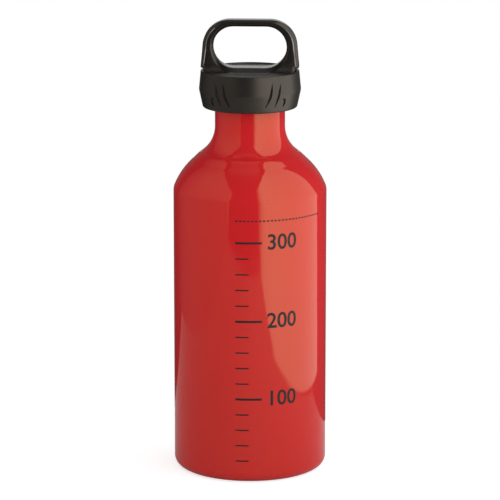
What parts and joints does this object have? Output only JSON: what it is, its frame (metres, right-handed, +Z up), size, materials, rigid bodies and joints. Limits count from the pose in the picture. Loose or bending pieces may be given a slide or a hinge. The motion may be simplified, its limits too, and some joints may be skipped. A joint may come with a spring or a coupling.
{
  "type": "camping fuel bottle",
  "caption": "Round metal fuel bottle with a narrow threaded neck and a push-and-turn screw cap that carries a finger loop.",
  "frame": {"origin": "middle of the foot, on the surface that the bottle stands on", "axes": "+Z up along the bottle's axis, X along the carry loop, the front towards -Y"},
  "size_m": [0.064, 0.064, 0.1902],
  "materials": {
    "red_enamel": "glossy red baked enamel outside, bare metal inside",
    "cap_plastic": "satin glass-filled nylon",
    "plug_plastic": "moulded nylon",
    "washer_plastic": "slippery acetal",
    "seal_rubber": "fuel-proof rubber",
    "spring_steel": "drawn stainless wire"
  },
  "bodies": {
    "bottle": {"bottle_shell": "red_enamel"},
    "seal": {"seal_ring": "seal_rubber"},
    "plug": {"screw_plug": "plug_plastic"},
    "spring_pack": {"thrust_washer": "washer_plastic", "return_spring": "spring_steel"},
    "overcap": {"carry_loop": "cap_plastic", "grip_skirt": "cap_plastic"}
  },
  "joints": [
    {"name": "cap_lift", "type": "slide", "parent": "bottle", "child": "seal", "axis": [0, 0, 1], "range_m": [0, 0.0211]},
    {"name": "cap_turn", "type": "hinge", "parent": "seal", "child": "plug", "pos_m": [0, 0, 0.1586], "axis": [0, 0, 1], "range_deg": [0, 2520]},
    {"name": "free_spin", "type": "hinge", "parent": "plug", "child": "spring_pack", "pos_m": [0, 0, 0.1486], "axis": [0, 0, 1], "continuous": true},
    {"name": "press", "type": "slide", "parent": "spring_pack", "child": "overcap", "axis": [0, 0, 1], "range_m": [-0.002, 0], "stiffness_N_per_m": 4000, "springref_m": 0.0015, "deforming": ["return_spring"]}
  ],
  "couplings": [
    {"joint": "cap_lift", "follows": "cap_turn", "m_per_rad": 0.00047746}
  ]
}
